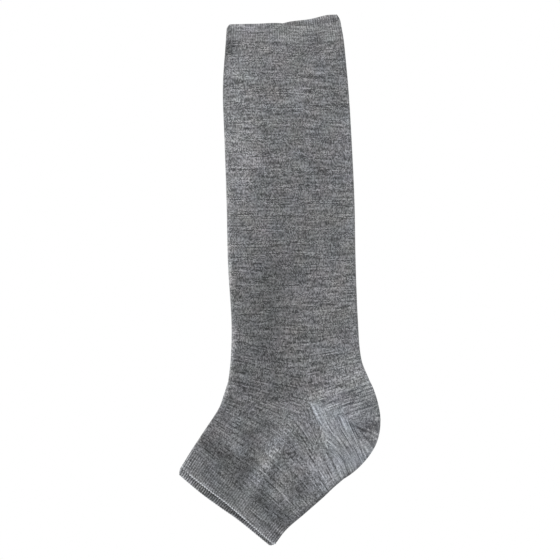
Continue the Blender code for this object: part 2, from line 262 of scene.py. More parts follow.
# Each row: name, place to the right and up, turn in degrees, half length, half width, lift, and tone, the
# painted light and shade.
SWELLS = (
    Swell("sag at the welt's end", -0.64, 2.81, 85, 0.08, 0.06, -0.04, -0.52),
    Swell("swell in the welt", -0.15, 2.91, 0, 0.13, 0.06, 0.04, 0.37),
    Swell("swell at the top fold", 0.17, 2.86, 85, 0.20, 0.06, 0.04, 0.37),
    Swell("painted light on the upper calf", -0.55, 2.19, 88, 0.59, 0.16, 0.06, 0.42),
    Swell("painted light round the calf", -0.08, 2.35, 90, 0.60, 0.45, 0.00, 0.09),
    Swell("hollow down the calf", -0.31, 0.68, 84, 0.78, 0.22, -0.10, -0.28),
    Swell("painted shade before the corner", -0.14, 0.11, 0, 0.12, 0.08, 0.00, -0.33),
    Swell("painted shade down the ankle's front", -0.60, 0.33, 92, 0.30, 0.05, 0.00, -0.32),
    Swell("painted shade in the instep", -0.69, -0.10, 55, 0.22, 0.07, 0.00, -0.22),
    Swell("painted sheen on the front fold", -0.635, 1.00, 92, 0.75, 0.024, 0.00, 0.72),
    Swell("painted sheen at the ankle's front", -0.633, 0.30, 80, 0.25, 0.024, 0.00, 0.95),
    Swell("painted sheen on the back fold", 0.327, 1.55, 92, 1.10, 0.045, 0.00, 0.32),
    Swell("painted sheen on the heel's top", 0.445, 0.20, 109, 0.22, 0.05, 0.00, 0.24),
    Swell("swell over the ankle", 0.30, 0.24, 115, 0.20, 0.13, 0.05, 0.39),
    Swell("dimple below the ankle", -0.37, -0.16, -30, 0.09, 0.06, -0.03, -0.14),
    Swell("dimple in the instep", -0.47, -0.26, 0, 0.08, 0.06, -0.04, -0.46),
    Swell("swell in the instep", -0.61, -0.32, -35, 0.13, 0.06, 0.04, 0.30),
    Swell("hollow towards the toes", -0.69, -0.39, -32, 0.30, 0.12, -0.08, -0.45),
    Swell("hollow before the ridge", -0.50, -0.54, 58, 0.19, 0.07, -0.10, -0.24),
    Swell("ridge over the foot", -0.335, -0.46, 62, 0.32, 0.052, 0.10, 0.50),
    Swell("hollow beyond the ridge", -0.31, -0.60, 65, 0.13, 0.035, -0.02, -0.29),
    Swell("swell below the corner", -0.15, -0.13, 0, 0.13, 0.08, 0.05, 0.11),
    Swell("hollow below the ridge", -0.37, -0.78, -40, 0.19, 0.06, -0.06, -0.49),
    Swell("swell beside the ridge", -0.23, -0.67, 70, 0.13, 0.06, 0.06, 0.27),
    Swell("pinch beside the sole", -0.05, -0.65, 78, 0.12, 0.06, -0.10, -0.31),
    Swell("painted light on the sole", 0.08, -0.58, -60, 0.20, 0.08, 0.05, 0.21),
    Swell("swell at the sole's edge", -0.09, -0.83, 45, 0.09, 0.05, 0.05, 0.60),
    Swell("pinch at the sole's edge", -0.15, -0.89, 40, 0.13, 0.06, -0.12, -0.39),
    Swell("painted light on the heel", 0.12, -0.17, -62, 0.28, 0.09, 0.04, 0.28),
    Swell("painted light on the heel top", 0.15, 0.06, 15, 0.17, 0.06, 0.02, 0.37),
    Swell("light at the toe's back corner", -0.36, -1.05, -40, 0.15, 0.04, 0.00, 0.22),
    Swell("painted sheen on the foot's front fold", -0.848, -0.235, 59, 0.34, 0.013, 0.00, 0.90),
    Swell("light at the toe's front corner", -0.975, -0.50, 55, 0.12, 0.05, 0.00, 0.16),
    Swell("shade at the sole's fold", 0.150, -0.700, 40, 0.28, 0.010, 0.00, -0.42),
    Swell("shade under the heel", 0.265, -0.620, 40, 0.16, 0.045, 0.00, -0.35),
    Swell("painted sheen behind the heel", 0.535, 0.02, 97, 0.17, 0.032, 0.00, 0.28),
    Swell("painted light on the upper heel", 0.27, -0.05, 12, 0.16, 0.07, 0.00, 0.38),
    Swell("tuck over the heel", 0.37, -0.01, 20, 0.09, 0.04, -0.04, -0.25),
    Swell("first heel crease", 0.405, -0.208, -26, 0.072, 0.010, -0.13, -0.88),
    Swell("second heel crease", 0.31, -0.06, 72, 0.050, 0.018, -0.06, -0.28),
    Swell("crease at the heel's back", 0.485, -0.185, 0, 0.040, 0.012, -0.04, -0.30),
    Swell("third heel crease", 0.40, -0.33, -52, 0.06, 0.014, -0.07, -0.08),
)
# Painted shade under the toe rim and painted light in two corners of the inner face, with no lift.
INNER_PAINTED_LIGHT_AND_SHADE = (
    Swell("shade under the toe rim", -0.56, -0.90, -40, 0.26, 0.10, 0.00, -0.25),
    Swell("light in the toe's front corner", -0.97, -0.57, -40, 0.12, 0.10, 0.00, 0.35),
    Swell("light in the welt's back corner", 0.02, 3.03, 5, 0.30, 0.08, 0.00, 0.30),
)
RIPPLE_LENGTH = 0.022
RIPPLE_HEIGHT = 0.00022
RIPPLE_LAYER = 3.0


def swells_at(plan, column, swells=SWELLS):
    """The sum of one column of the swells, `lift` or `tone`, for an array of plan points."""
    total = np.zeros(len(plan))
    for swell in swells:
        turn = math.radians(swell.turn)
        offset = plan - np.array([swell.right, swell.up]) * CALF_WIDTH
        along = offset @ np.array([math.cos(turn), math.sin(turn)]) / (swell.long * CALF_WIDTH)
        aside = offset @ np.array([-math.sin(turn), math.cos(turn)]) / (swell.wide * CALF_WIDTH)
        total += getattr(swell, column) * np.exp(-(along**2) - aside**2)
    return total


def lie(plan):
    """How far the upper layer stands above or below its even lay, for an array of plan points."""
    ripple = [noise.noise(Vector((x / RIPPLE_LENGTH, y / RIPPLE_LENGTH, RIPPLE_LAYER))) for x, y in plan]
    return swells_at(plan, "lift") * FOLD_HEIGHT + np.array(ripple) * RIPPLE_HEIGHT


print(f"swells: {len(SWELLS)} on the upper layer, {len(INNER_PAINTED_LIGHT_AND_SHADE)} on the inner face")

# %% [markdown]
# ## One course, all the way round
#
# It runs over the upper layer from the front fold to the back fold, turns round the back fold, and
# returns on the lower layer, which is flat on the floor. `Density` says into how many steps each stretch
# is cut, and every stretch holds a fixed number of wales, so the columns of stitches stay unbroken down
# the whole sock.

# %% Wales along a course
Density = namedtuple("Density", "front back fold")
WALES = Density(front=36, back=28, fold=6)
WALES_ROUND = 2 * (WALES.front + WALES.back + WALES.fold)
COURSE_PITCH = 0.00085


def wale_marks(density):
    """The wale that each column of a course stands on, with the first column again at the end."""
    stretches = ("front", "back", "fold", "back", "front", "fold")
    marks = [np.zeros(1)]
    for stretch in stretches:
        steps, wales = getattr(density, stretch), getattr(WALES, stretch)
        marks.append(marks[-1][-1] + np.arange(1, steps + 1) * (wales / steps))
    return np.concatenate(marks)


print("wales round the sock:", WALES_ROUND)

# %% Laying a course
SWELLS_FADE_WITHIN = 1 / 4


def unit(vector):
    return vector / np.linalg.norm(vector)


def rise(inward):
    """How much of its full lift the upper layer has, from 0 at a fold to 1 at the knee."""
    return 1 - (1 - inward) ** RISE_POWER


def swelling(inward):
    """The swells fade out over the last quarter of the way to a fold."""
    return np.clip(inward / SWELLS_FADE_WITHIN, 0, 1)


def fold_round(edge, inner, lead, across, steps, from_top):
    """The half round of a fold, whose outermost point is `edge` and whose way into the sock is `inner`."""
    lowness = np.arange(1, steps) / steps
    turn = math.pi * lowness
    radius = FOLD_HEIGHT / 2
    led = lead(np.full(steps - 1, across), lowness, np.sin(turn))
    plan = edge + np.outer(1 - np.sin(turn), inner * radius) + led
    points = np.column_stack([plan, radius + radius * np.cos(turn)])
    return points if from_top else points[::-1]


def course(line, loft, ridge, lead, density):
    """The points of one course: upper layer, back fold, lower layer, front fold."""
    radius = FOLD_HEIGHT / 2
    to_knee, from_knee = unit(line.knee - line.front), unit(line.knee - line.back)
    front, back = line.front + to_knee * radius, line.back + from_knee * radius
    front_run, back_run = np.linalg.norm(line.knee - line.front), np.linalg.norm(line.back - line.knee)
    bend_at = front_run / (front_run + back_run)
    bend = (between(front, back, bend_at) - line.knee) * line.rounding

    def half(outer, steps):
        share = np.linspace(0, 1, steps + 1)
        return share, outer + np.outer(share, line.knee - outer) + np.outer(share**3, bend)

    front_share, front_plan = half(front, density.front)
    back_share, back_plan = half(back, density.back)
    inward = np.concatenate([front_share, back_share[-2::-1]])
    across = np.concatenate([front_share * bend_at, 1 - back_share[-2::-1] * (1 - bend_at)])
    plan = np.vstack([front_plan, back_plan[-2::-1]])

    upper = plan + lead(across, np.zeros_like(across), np.zeros_like(across))
    lower = plan + lead(across, np.ones_like(across), np.zeros_like(across))
    height = FOLD_HEIGHT + (loft - FOLD_HEIGHT) * rise(inward) + ridge * inward**RIDGE_POWER
    height = height + lie(upper) * swelling(inward)
    return np.vstack(
        [
            np.column_stack([upper, height]),
            fold_round(line.back, from_knee, lead, 1.0, density.fold, from_top=True),
            np.column_stack([lower, np.zeros(len(lower))])[::-1],
            fold_round(line.front, to_knee, lead, 0.0, density.fold, from_top=False),
        ]
    )


# %% [markdown]
# At each rim the two layers have slipped a little past each other, and the corners at the folds are
# rounded off. The `lead` of a course says how far each of its points is carried along for that. The heel
# pocket has no rim. It is laid in rays from its corner instead, the way its gore runs.

# %% Courses of the leg and the foot, rays of the heel
def rim_lead(rim, skew, direction, strength):
    def lead(across, lowness, outness):
        upper = np.array([read_row(rim, "upper", a) for a in across])
        lower = np.array([read_row(rim, "lower", a) for a in across])
        out = skew * (upper + (lower - upper) * lowness) - CORNER_ROUND * outness**2
        return np.outer(out * strength, direction)

    return lead


def no_lead(across, lowness, outness):
    return np.zeros((len(across), 2))


def leg_course(down, density):
    lead = rim_lead(TOP_RIM, TOP_SKEW, LEG_AXIS_UP, fade(down, SKEW_SHARE))
    return course(leg_line(down), read_row(LEG_TABLE, "loft", down) * LOFT, 0.0, lead, density)


def foot_course(down, density):
    lead = rim_lead(TOE_RIM, TOE_SKEW, FOOT_AXIS, fade(1 - down, SKEW_SHARE))
    loft, ridge = (read_row(FOOT_TABLE, column, down) * LOFT for column in ("loft", "ridge"))
    return course(foot_line(down), loft, ridge, lead, density)


def heel_ray(turn, density):
    """One ray of the heel pocket, from its tip over the upper layer, round the fold and back to the tip."""
    length = between(HEEL_TOP_LENGTH, HEEL_SOLE_LENGTH, read_row(HEEL_ROWS, "growth", turn))
    way = polar(1.0, HEEL_TOP_RISE - (HEEL_TOP_RISE + HEEL_SOLE_DROP) * turn)
    out = np.linspace(0, 1, density.back + 1)
    plan = np.outer(out * (length - FOLD_HEIGHT / 2), way)
    height = FOLD_HEIGHT + (LOFT - FOLD_HEIGHT) * rise(1 - out) + lie(plan) * swelling(1 - out)
    return np.vstack(
        [
            np.column_stack([plan, height]),
            fold_round(way * length, -way, no_lead, 1.0, density.fold, from_top=True),
            np.column_stack([plan, np.zeros(len(plan))])[::-1],
        ]
    )


# %% [markdown]
# ## Where the pale thread runs
#
# The heel is knitted with a second, paler thread that makes it last. It shows most in the lower heel and
# weakly beside the upper seam. Its share is cut back towards the back of the heel, which paints shade
# there. It doesn't stop at the seams either: it goes on along the sole, and thinly through the foot
# beyond the instep. The cloth keeps its share at each point, from 0 to 1, for the yarn's colour to read.

# %% The pale thread's share
PALE_LEG_REACH = 0.004
PALE_SOLE_REACH = 0.050
PALE_FOOT_REACH = 0.030
PALE_AT_TOP_SEAM = 0.4
PALE_IN_FOOT = 0.35
PALE_CUT_FOR_SHADE = 0.8
HEEL_BACK = np.array([0.0490, -0.0110])
HEEL_BACK_REACH = 0.026


def off_line(plan, start, end):
    """How far each plan point is from the line between two points."""
    way = end - start
    share = np.clip((plan - start) @ way / (way @ way), 0, 1)
    return np.linalg.norm(plan - start - share[:, None] * way, axis=1)


def pale_share(plan):
    """1 in the lower heel, easing to 0 in the leg beyond the upper seam and in the sole beyond the lower."""
    corner = np.zeros(2)
    turn = np.arctan2(plan[:, 1], plan[:, 0])
    in_leg, in_sole = turn >= HEEL_TOP_RISE, turn <= -HEEL_SOLE_DROP
    in_foot = in_sole | (turn >= math.pi - INSTEP_RISE)

    from_top = 1 - fade(HEEL_TOP_RISE / 2 - turn, 2 * HEEL_TOP_RISE)
    # The pale share is cut at the back of the heel, as painted shade.
    shade_cut = PALE_CUT_FOR_SHADE * fade(np.linalg.norm(plan - HEEL_BACK, axis=1), HEEL_BACK_REACH)
    heel_share = between(PALE_AT_TOP_SEAM, 1.0, from_top) * (1 - shade_cut)

    past_instep = 1 - fade(off_line(plan, corner, INSTEP), PALE_FOOT_REACH)
    foot_share = PALE_IN_FOOT * past_instep * in_foot
    beside_leg = PALE_AT_TOP_SEAM * fade(off_line(plan, corner, HEEL_TOP), PALE_LEG_REACH) * in_leg
    down_sole = np.clip(np.linalg.norm(plan, axis=1) / HEEL_SOLE_LENGTH, 0, 1) ** 0.5
    beside_sole = fade(off_line(plan, corner, HEEL_SOLE), PALE_SOLE_REACH) * down_sole * in_sole
    return np.where(in_leg | in_sole, np.maximum(beside_leg + foot_share, beside_sole), heel_share)


# %% [markdown]
# ## From courses to a piece of cloth
#
# A stack of courses is a sheet. The sheet gets an inner face one wall's thickness inside it, and where it
# ends in an open rim, a half-round edge joins the two faces. The map called `knit` counts wales one way
# and courses the other, so the stitches follow the cloth wherever it goes. The cloth also keeps some
# facts at each point, which the yarns and the ribs read later: its tone, which holds the painted light and
# shade and a rim's paler edge, its share of pale thread, how strongly the ribs' painted shade shows there
# and how far apart its courses lie.

# %% Faces and edges of the cloth
EDGE_STEPS = 6


def outward(sheet, closed):
    """Which way is out of the cloth, at each point of a sheet."""
    down = np.gradient(sheet, axis=0)
    if closed:
        round_about = np.roll(sheet, -1, axis=1) - np.roll(sheet, 1, axis=1)
    else:
        round_about = np.gradient(sheet, axis=1)
    normal = np.cross(down, round_about)
    if not closed:
        normal[:, 0], normal[:, -1] = (0, 0, 1), (0, 0, -1)
    return normal / np.linalg.norm(normal, axis=2, keepdims=True)


def rolled_edge(outer, normal, beyond, wall):
    """Rings of a half-round edge, from the outer face round to the inner face."""
    centre = outer - normal * (wall / 2)
    out = outer - beyond
    out = out / np.linalg.norm(out, axis=1, keepdims=True)
    turns = [math.pi * k / EDGE_STEPS for k in range(1, EDGE_STEPS)]
    return [centre + (normal * math.cos(turn) + out * math.sin(turn)) * (wall / 2) for turn in turns]


# %% Facts that the cloth keeps
PALE_RIM_DEPTH = 0.0045
INNER_RIB = 2.6
FOLD_RIB = 1.3
FOLD_RIB_WALES = 12.0


def ribbing(wales, inside):
    """How strongly the ribs' painted shade shows: more round a fold, where they are seen aslant, and most
    inside.
    """
    past_fold = (wales + WALES.fold / 2) % (WALES_ROUND / 2)
    from_fold = np.minimum(past_fold, WALES_ROUND / 2 - past_fold)
    return 1 + (INNER_RIB - 1) * inside + FOLD_RIB * fade(from_fold, FOLD_RIB_WALES) * (1 - inside)


def course_spacing(sheet, rows):
    """How far apart a tube's courses lie, against their usual pitch."""
    down = np.gradient(sheet, axis=0) / np.gradient(rows, axis=0)[..., None]
    across = np.roll(sheet, -1, axis=1) - np.roll(sheet, 1, axis=1)
    patch = np.linalg.norm(np.cross(down, across), axis=2)
    return patch / np.linalg.norm(across, axis=2) / COURSE_PITCH


def cloth_facts(points, counts, inside, rims, pale_rim):
    """Tone is 1 for even cloth. A rim's turned edge is paler by `pale_rim`."""
    plan, wales, rows = points[:, :2], counts[:, 0], counts[:, 1]
    from_rim = abs(rows - (rows.min() if "first" in rims else rows.max())) * COURSE_PITCH
    rim_tone = pale_rim * fade(from_rim, PALE_RIM_DEPTH) * (1 - inside)
    # The inner face takes painted shade under the toe rim and painted light in two corners.
    rim_tone += swells_at(plan, "tone", INNER_PAINTED_LIGHT_AND_SHADE) * (inside == 1)
    # The upper layer takes the swells' painted light and shade in its tone.
    on_upper_layer = points[:, 2] > FOLD_HEIGHT / 2
    return {
        "wale": wales,
        "inside": inside,
        "ribbing": ribbing(wales, inside),
        "tone": 1 + rim_tone + swells_at(plan, "tone") * on_upper_layer,
        "pale": pale_share(plan),
    }


# %% Sheet to closed cloth
def put_in_scene(name, data):
    made = bpy.data.objects.new(name, data)
    bpy.context.scene.collection.objects.link(made)
    return made


def cloth(name, sheet, knit, wall, rims=(), closed=True, pale_rim=0.0):
    """A closed piece of cloth: outer face, rim or seam, inner face, rim or seam."""
    normal = outward(sheet, closed)
    inner = sheet - normal * wall
    first = rolled_edge(sheet[0], normal[0], sheet[1], wall) if "first" in rims else []
    last = rolled_edge(sheet[-1], normal[-1], sheet[-2], wall) if "last" in rims else []
    rings = np.array([*sheet, *last, *inner[::-1], *first[::-1]])
    counts = np.array([*knit, *[knit[-1]] * len(last), *knit[::-1], *[knit[0]] * len(first)])
    inside = [0] * len(sheet) + [0.5] * len(last) + [1] * len(sheet) + [0.5] * len(first)
    spacing = course_spacing(sheet, knit[:, :-1, 1]) if closed else np.ones(sheet.shape[:2])
    spacing = np.array([*spacing, *[spacing[-1]] * len(last), *spacing[::-1], *[spacing[0]] * len(first)])
    print(f"{name}: courses {spacing.min():.2f} to {spacing.max():.2f} of their pitch apart")

    columns = sheet.shape[1]
    i, j = np.meshgrid(np.arange(len(rings)), np.arange(columns if closed else columns - 1), indexing="ij")
    i, j = i.ravel(), j.ravel()
    below, beside = (i + 1) % len(rings), (j + 1) % columns
    here, there = i * columns, below * columns
    quads = np.column_stack([here + j, there + j, there + beside, here + beside])
    corners = np.stack([counts[i, j], counts[below, j], counts[below, j + 1], counts[i, j + 1]], axis=1)

    points = rings.reshape(-1, 3)
    mesh = bpy.data.meshes.new(name)
    mesh.from_pydata(points.tolist(), [], quads.tolist())
    mesh.uv_layers.new(name="knit").data.foreach_set("uv", corners.astype(np.float32).ravel())
    point_counts, point_inside = counts[:, :columns].reshape(-1, 2), np.repeat(inside, columns)
    facts = cloth_facts(points, point_counts, point_inside, rims, pale_rim)
    facts["spacing"] = spacing.ravel()
    for label, values in facts.items():
        mesh.attributes.new(label, "FLOAT", "POINT").data.foreach_set("value", values.astype(np.float32))
    mesh.transform(Matrix.Translation(shift))
    return put_in_scene(name, mesh)


# %% Closing and shading a piece
MERGE_WITHIN = 1e-6
SHARP_FROM = math.radians(70)


def finish_cloth(piece):
    """Joins the points that lie on each other at the heel's tip, and keeps only the seam edges sharp."""
    grid = bmesh.new()
    grid.from_mesh(piece.data)
    bmesh.ops.remove_doubles(grid, verts=grid.verts, dist=MERGE_WITHIN)
    grid.to_mesh(piece.data)
    grid.free()
    piece.data.shade_smooth()
    piece.data.set_sharp_from_angle(angle=SHARP_FROM)
    print(f"{piece.name}: {len(piece.data.vertices)} points, {len(piece.data.polygons)} faces")


# %% [markdown]
# ## The five sections
#
# The ribbed cuff and toe band get six columns to a wale, so that their ribs can be real. The plain knit
# gets one, and the heel twice as many, because its creases are narrow. The heel's middle ray is laid
# twice, once for each of its halves, which have their rows to themselves.

# %% Stack the courses
PLAIN = Density(front=36, back=28, fold=12)
CREASED = Density(front=36, back=56, fold=12)
RIBBED = Density(front=216, back=168, fold=36)
CUFF_END = CUFF_DEPTH / (LEG_LENGTH - (INSTEP[1] + HEEL_TOP[1]) / 2)
BAND_START = 1 - TOE_BAND_DEPTH / (FOOT_LENGTH - INSTEP @ FOOT_AXIS)


def stack(maker, first, last, steps, density):
    return np.array([maker(between(first, last, k / steps), density) for k in range(steps + 1)])


# The steps down a sheet are about 1 mm in the ribs and the heel, and up to 3 mm in the plain cloth.
cuff_sheet = stack(leg_course, 0.0, CUFF_END, 12, RIBBED)
leg_sheet = stack(leg_course, CUFF_END, 1.0, 140, PLAIN)
foot_sheet = stack(foot_course, 0.0, BAND_START, 44, PLAIN)
band_sheet = stack(foot_course, BAND_START, 1.0, 14, RIBBED)
heel_sheet = stack(heel_ray, 0.0, 1.0, 96, CREASED)
GORE_RAY = len(heel_sheet) // 2
heel_sheet = np.insert(heel_sheet, GORE_RAY, heel_sheet[GORE_RAY], axis=0)

sheets = (cuff_sheet, leg_sheet, foot_sheet, band_sheet, heel_sheet)
every_point = np.vstack([sheet.reshape(-1, 3) for sheet in sheets])
low, high = every_point.min(axis=0), every_point.max(axis=0)
middle = (low + high) / 2
shift = Vector((-middle[0], -middle[1], 0.0))
print("overall (mm):", np.round((high - low) * 1000, 1))
print("heel's corner (mm):", [round(value * 1000, 2) for value in shift])

# %% [markdown]
# ## Wales and courses
#
# The tubes count their courses from the top of the leg and from the ankle. In the heel pocket the short
# rows lie along its two seams and meet in the gore between them. From the gore's end they fan out round
# the heel. The lower half's rows don't run straight: the sole pulls on them, so that they bend outwards
# on their way.

# %% Counting the tubes' stitches
LEG_COURSES = LEG_LENGTH / COURSE_PITCH
FOOT_COURSES = (FOOT_LENGTH - INSTEP @ FOOT_AXIS) / COURSE_PITCH


def tube_knit(first, last, sheet, density):
    marks = wale_marks(density)
    numbers = np.linspace(first, last, len(sheet))
    return np.stack(np.broadcast_arrays(marks[None, :], numbers[:, None]), axis=2)


leg_knit = tube_knit(CUFF_END * LEG_COURSES, LEG_COURSES, leg_sheet, PLAIN)
cuff_knit = tube_knit(0, CUFF_END * LEG_COURSES, cuff_sheet, RIBBED)
foot_knit = tube_knit(0, BAND_START * FOOT_COURSES, foot_sheet, PLAIN)
band_knit = tube_knit(BAND_START * FOOT_COURSES, FOOT_COURSES, band_sheet, RIBBED)
print(f"courses: {LEG_COURSES:.0f} down the leg, {FOOT_COURSES:.0f} along the foot")

# %% Counting the heel's stitches
HEEL_WALE_PITCH = 0.0015
GORE_LENGTH = 0.033
FAN_RADIUS = 0.012
BEND_AT = 0.0375
BEND_REACH = 0.0120
BEND_TILT = math.radians(32)
BEND_STEPS = 100


def bend_of_rows(along):
    """How far the heel's lower rows are carried towards the sole, where their pull bends them outwards."""
    steps = np.linspace(0, 1, BEND_STEPS + 1)[1:] * along[..., None]
    slope = math.tan(BEND_TILT) * np.exp(-(((steps - BEND_AT) / BEND_REACH) ** 2))
    return slope.mean(axis=-1) * along


def heel_knit(sheet):
    reach = np.linalg.norm(sheet[:, :, :2], axis=2)
    half = (HEEL_TOP_RISE + HEEL_SOLE_DROP) / 2
    off_seam = np.linspace(0, half, len(sheet) // 2)
    off_seam = np.concatenate([off_seam, off_seam[::-1]])[:, None]
    along, below = reach * np.cos(off_seam), reach * np.sin(off_seam)

    # Rows beside the seams, then a fan of rows round the gore's end.
    gore_along, gore_below = polar(GORE_LENGTH, half)
    past = np.hypot(along - gore_along, below - gore_below)
    turn = np.arctan2(below - gore_below, along - gore_along)
    fanned = below > gore_below
    lower_half = np.arange(len(sheet))[:, None] >= len(sheet) // 2
    fan_rows = np.where(fanned, gore_below + turn * FAN_RADIUS, below)
    rows = (fan_rows - bend_of_rows(along) * lower_half * fade(below, gore_below)) / COURSE_PITCH
    wales = np.where(fanned, gore_along + past, along) / HEEL_WALE_PITCH

    # The lower half counts its rows back from the last, and the lower layer its wales.
    last_row = (gore_below + half * FAN_RADIUS) / COURSE_PITCH
    rows = np.where(lower_half, 2 * last_row - rows, rows)
    lower_layer = np.arange(sheet.shape[1]) > sheet.shape[1] // 2
    wales = np.where(lower_layer[None, :], 2 * wales.max(axis=1, keepdims=True) - wales, wales)
    return np.stack([wales, rows], axis=2)


# %% Make the cloth
cuff = cloth("knitted_cuff", cuff_sheet, cuff_knit, CUFF_WALL, rims=("first",), pale_rim=0.25)
leg = cloth("knitted_leg", leg_sheet, leg_knit, LEG_WALL)
foot = cloth("knitted_foot", foot_sheet, foot_knit, FOOT_WALL)
toe_band = cloth("knitted_toe_band", band_sheet, band_knit, TOE_BAND_WALL, rims=("last",), pale_rim=0.28)
heel = cloth("knitted_heel", heel_sheet, heel_knit(heel_sheet), HEEL_WALL, closed=False)
for piece in (leg, foot, heel):
    finish_cloth(piece)

# %% [markdown]
# ## One small helper for node trees
#
# Materials and geometry trees are built of nodes, and one function adds them all. Its settings are the
# node's own choices. Its values go into the node's sockets, in their order or by name, either as a plain
# value or as a link from another node. A node given as a value is linked by its first output.

# %% Adding nodes
MATH = "ShaderNodeMath"


def add(tree, kind, *values, **settings):
    """Adds a node, with its values in order or as a dictionary by socket."""
    made = tree.nodes.new(kind)
    for name, value in settings.items():
        setattr(made, name, value)
    by_name = values and isinstance(values[0], dict)
    for name, value in (values[0] if by_name else dict(enumerate(values))).items():
        if isinstance(value, bpy.types.Node):
            value = value.outputs[0]
        if isinstance(value, bpy.types.NodeSocket):
            tree.links.new(value, made.inputs[name])
        else:
            made.inputs[name].default_value = value
    return made


def new_material(name):
    material = bpy.data.materials.new(name)
    material.use_nodes = True
    material.node_tree.nodes.clear()
    return material, material.node_tree


# %% [markdown]
# ## Yarns
#
# A melange yarn is spun from dark and pale fibres, so it changes shade every few stitches. The shade
# follows the yarn: along its course for a few wales, and afresh in the next course. Each stitch is a pair
# of slanting legs, with a groove between the legs and a deeper one between the wales. It could be a
# picture laid on the cloth, but numbers worked out from the wales and courses stay sharp and follow every
# bend.
#
# Just below the heel's corner the courses of the foot are drawn far apart, but the real sock's stitches are
# hardly bigger there. So each course counts as two where they are.

# %% One stitch
SLANT = 0.25
STITCH_ROUNDNESS = 0.6
WIDE_SPACING = 1.45


def stitches(tree):
    """A stitch's height, and its place in its yarn: its wale and the number of its course."""
    knit = add(tree, "ShaderNodeUVMap", uv_map="knit")
    counts = add(tree, "ShaderNodeSeparateXYZ", knit).outputs
    spacing = add(tree, "ShaderNodeAttribute", attribute_name="spacing").outputs["Fac"]
    short_row = add(tree, MATH, spacing, WIDE_SPACING, operation="GREATER_THAN")
    split = add(tree, MATH, short_row, 1.0, operation="ADD")
    wale, row = counts["X"], add(tree, MATH, counts["Y"], split, operation="MULTIPLY")

    # Two legs lean to a point in each wale, and each swells between its ends and its sides.
    zigzag = add(tree, MATH, wale, 0.5, operation="PINGPONG")
    aside = add(tree, MATH, zigzag, 2.0, operation="MULTIPLY")
    slant = add(tree, MATH, aside, SLANT, operation="MULTIPLY")
    slanted = add(tree, MATH, row, slant, operation="ADD")
    swell = []
    for part in (aside, add(tree, MATH, slanted, operation="FRACT")):
        turn = add(tree, MATH, part, math.pi, operation="MULTIPLY")
        arch = add(tree, MATH, turn, operation="SINE")
        swell.append(add(tree, MATH, arch, STITCH_ROUNDNESS, operation="POWER"))
    height = add(tree, MATH, *swell, operation="MULTIPLY")
    return height, wale, add(tree, MATH, slanted, operation="FLOOR")


# %% [markdown]
# A fibre is a few hundredths of a millimetre thick, too fine to show in a picture of a whole sock. So
# each leg of a stitch, about 0.7 mm wide, is given one shade for all its fibres, which is as coarse as
# the specks need to be to show. Streaks and lines run along the yarn over them. Where the pale thread
# runs, its lines are longer, its specks calmer and its pale fibres bluer.

# %% Dark and pale fibres along the yarn
Melange = namedtuple("Melange", "dark pale balance streak speck lines groove bump rib")
Thread = namedtuple("Thread", "colour balance long_lines smooth calm")
PALE_THREAD = Thread(colour="#c8cbd1", balance=0.17, long_lines=1.1, smooth=0.35, calm=0.15)
PALE_FIBRE_POWER = 1.5
# How many wales of 1.4 mm each kind of streak is long, and the layer of the noise that it is cut from.
STREAK_WALES, STREAK_LAYER = 2.5, 0.0
LINE_WALES, LINE_LAYER = 8.0, 63.0
LONG_LINE_WALES, LONG_LINE_LAYER = 11.0, 31.0
# Each course starts its noise at a place of its own, so far from the next one's that they share nothing.
COURSE_START = 89.0
COURSE_STEP = 7.618


def yarn_noise(tree, thread, wales_long, layer, detail=1.0):
    """Noise along the yarn, even for about `wales_long` wales, that starts afresh in the next course."""
    along = add(tree, MATH, thread["wale"], wales_long, operation="DIVIDE")
    start = add(tree, MATH, thread["own"], COURSE_START, operation="MULTIPLY")
    along = add(tree, MATH, along, start, operation="ADD")
    course = add(tree, MATH, thread["number"], COURSE_STEP, layer, operation="MULTIPLY_ADD")
    spot = add(tree, "ShaderNodeCombineXYZ", along, course, thread["drift"])
    made = add(tree, "ShaderNodeTexNoise", {"Vector": spot, "Scale": 1.0, "Detail": detail})
    return add(tree, MATH, made.outputs["Fac"], 0.5, operation="SUBTRACT")


def pale_fibres(tree, yarn, thread):
    """The share of pale fibres at each spot of the yarn."""
    pale, wale = thread["pale"], thread["wale"]
    streak = yarn_noise(tree, thread, STREAK_WALES, STREAK_LAYER)
    line = yarn_noise(tree, thread, LINE_WALES, LINE_LAYER, detail=0.0)
    long_line = yarn_noise(tree, thread, LONG_LINE_WALES, LONG_LINE_LAYER, detail=0.0)
    leg_of_stitch = add(tree, MATH, add(tree, MATH, wale, 2.0, operation="MULTIPLY"), operation="FLOOR")
    spot = add(tree, "ShaderNodeCombineXYZ", leg_of_stitch, thread["number"], 0.0)
    speck = add(tree, "ShaderNodeTexWhiteNoise", {"Vector": spot}, noise_dimensions="2D").outputs["Value"]
    speck = add(tree, MATH, speck, 0.5, operation="SUBTRACT")

    line_depth = add(tree, MATH, pale, -PALE_THREAD.smooth, yarn.lines, operation="MULTIPLY_ADD")
    long_line_depth = add(tree, MATH, pale, PALE_THREAD.long_lines, operation="MULTIPLY")
    speck_depth = add(tree, MATH, pale, -PALE_THREAD.calm, yarn.speck, operation="MULTIPLY_ADD")
    mostly_pale = add(tree, MATH, pale, 2.0, operation="POWER")
    share = add(tree, MATH, mostly_pale, PALE_THREAD.balance, yarn.balance, operation="MULTIPLY_ADD")
    changes = ((streak, yarn.streak), (line, line_depth), (long_line, long_line_depth), (speck, speck_depth))
    for change, depth in changes:
        share = add(tree, MATH, change, depth, share, operation="MULTIPLY_ADD")
    share = add(tree, MATH, share, 0.0, operation="MAXIMUM")
    return add(tree, MATH, share, PALE_FIBRE_POWER, operation="POWER")


# %% [markdown]
# Over the fibres lie broader changes. The grooves between stitches are painted in shade, and so are those
# between ribs. The wool drifts a little between light and dark, in clouds, and between greenish and violet.
# Some columns of wales are paler or darker for a long way, because no two needles draw their loops quite
# alike.

